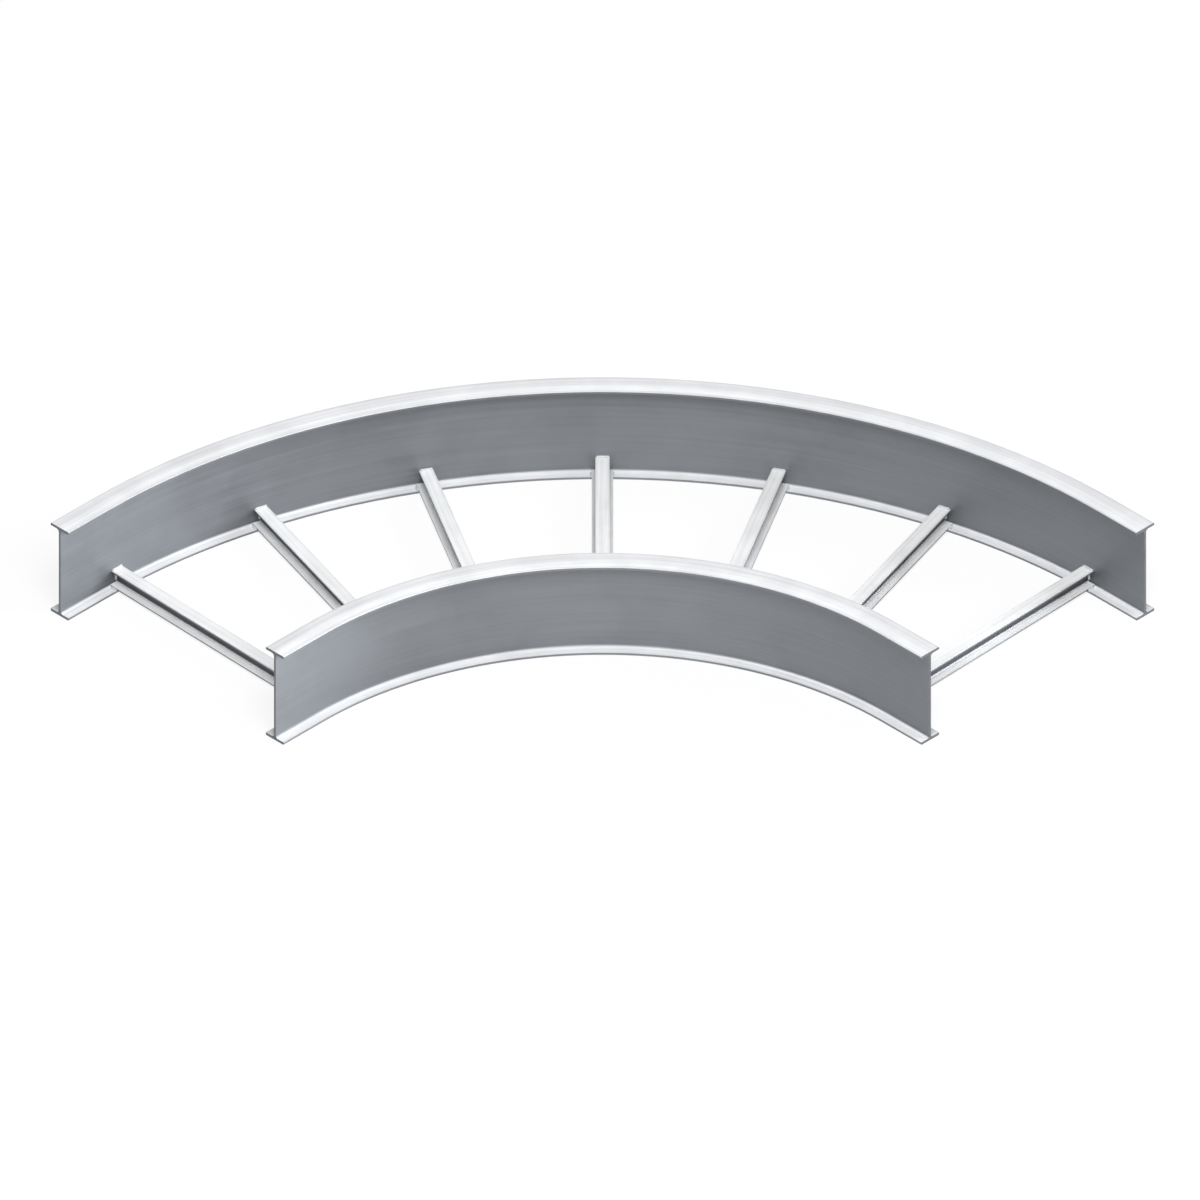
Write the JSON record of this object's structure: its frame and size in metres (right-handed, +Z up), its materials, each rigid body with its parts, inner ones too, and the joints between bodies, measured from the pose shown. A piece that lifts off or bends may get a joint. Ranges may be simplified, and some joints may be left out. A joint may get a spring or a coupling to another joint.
{
  "type": "cable tray horizontal elbow",
  "caption": "Level corner piece of a ladder cable tray: curved I-beam side rails joined by radial I-shaped rungs, carrying cables round a square turn.",
  "frame": {"origin": "middle of the footprint, at the height of the side rails' undersides", "axes": "+Z up, away from the surface that it lies on; the tray's two open ends face -X and -Y, and the outside of the bend faces +X and +Y"},
  "size_m": [1.172, 1.172, 0.162],
  "materials": {
    "side_rail": "extruded mill finish",
    "rung": "extruded mill finish"
  },
  "bodies": {
    "root": {"side_rail_outer": "side_rail", "side_rail_inner": "side_rail", "rung_1": "rung", "rung_2": "rung", "rung_3": "rung", "rung_4": "rung", "rung_5": "rung", "rung_6": "rung", "rung_7": "rung"}
  },
  "joints": []
}
